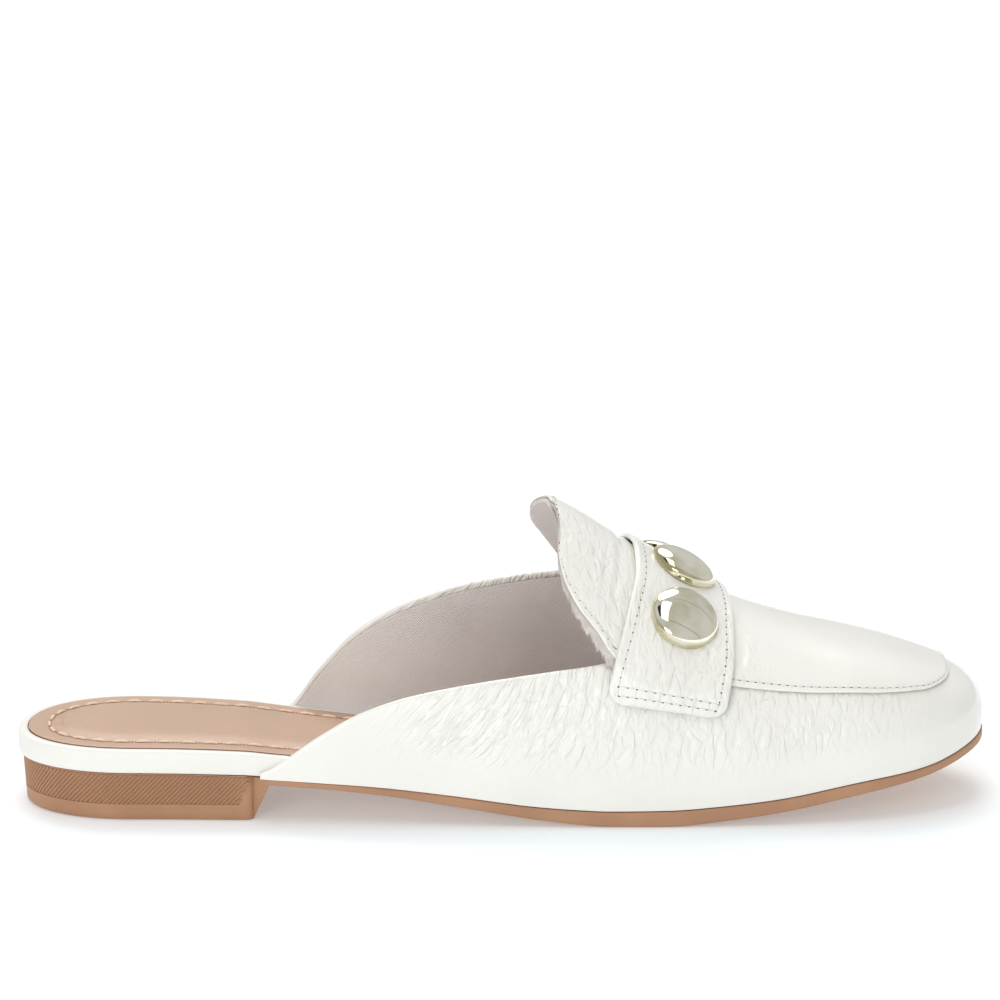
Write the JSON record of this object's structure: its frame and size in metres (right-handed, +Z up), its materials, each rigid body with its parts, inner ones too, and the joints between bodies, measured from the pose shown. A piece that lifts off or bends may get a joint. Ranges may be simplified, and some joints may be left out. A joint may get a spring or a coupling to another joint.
{
  "type": "loafer mule",
  "caption": "Backless loafer for the right foot in white pebbled leather, with a saddle strap, domed studs, a standing tongue and a low ribbed heel.",
  "frame": {"origin": "bottom centre of the shoe's box, on the floor", "axes": "+X to the toe, +Y to the inner (medial) side, +Z up"},
  "size_m": [0.2578, 0.0784, 0.0801],
  "materials": {
    "tan_rubber": "moulded, matt",
    "white_binding": "smooth, satin",
    "tan_leather": "smooth, satin",
    "white_leather": "pebbled grain, glossy",
    "pale_gold": "polished"
  },
  "bodies": {
    "root": {"outsole": "tan_rubber", "insole_board": "white_binding", "sock": "tan_leather", "upper": "white_leather", "apron_tongue": "white_leather", "saddle_strap": "white_leather", "stud_lateral": "pale_gold", "stud_middle": "pale_gold", "stud_medial": "pale_gold"}
  },
  "joints": []
}
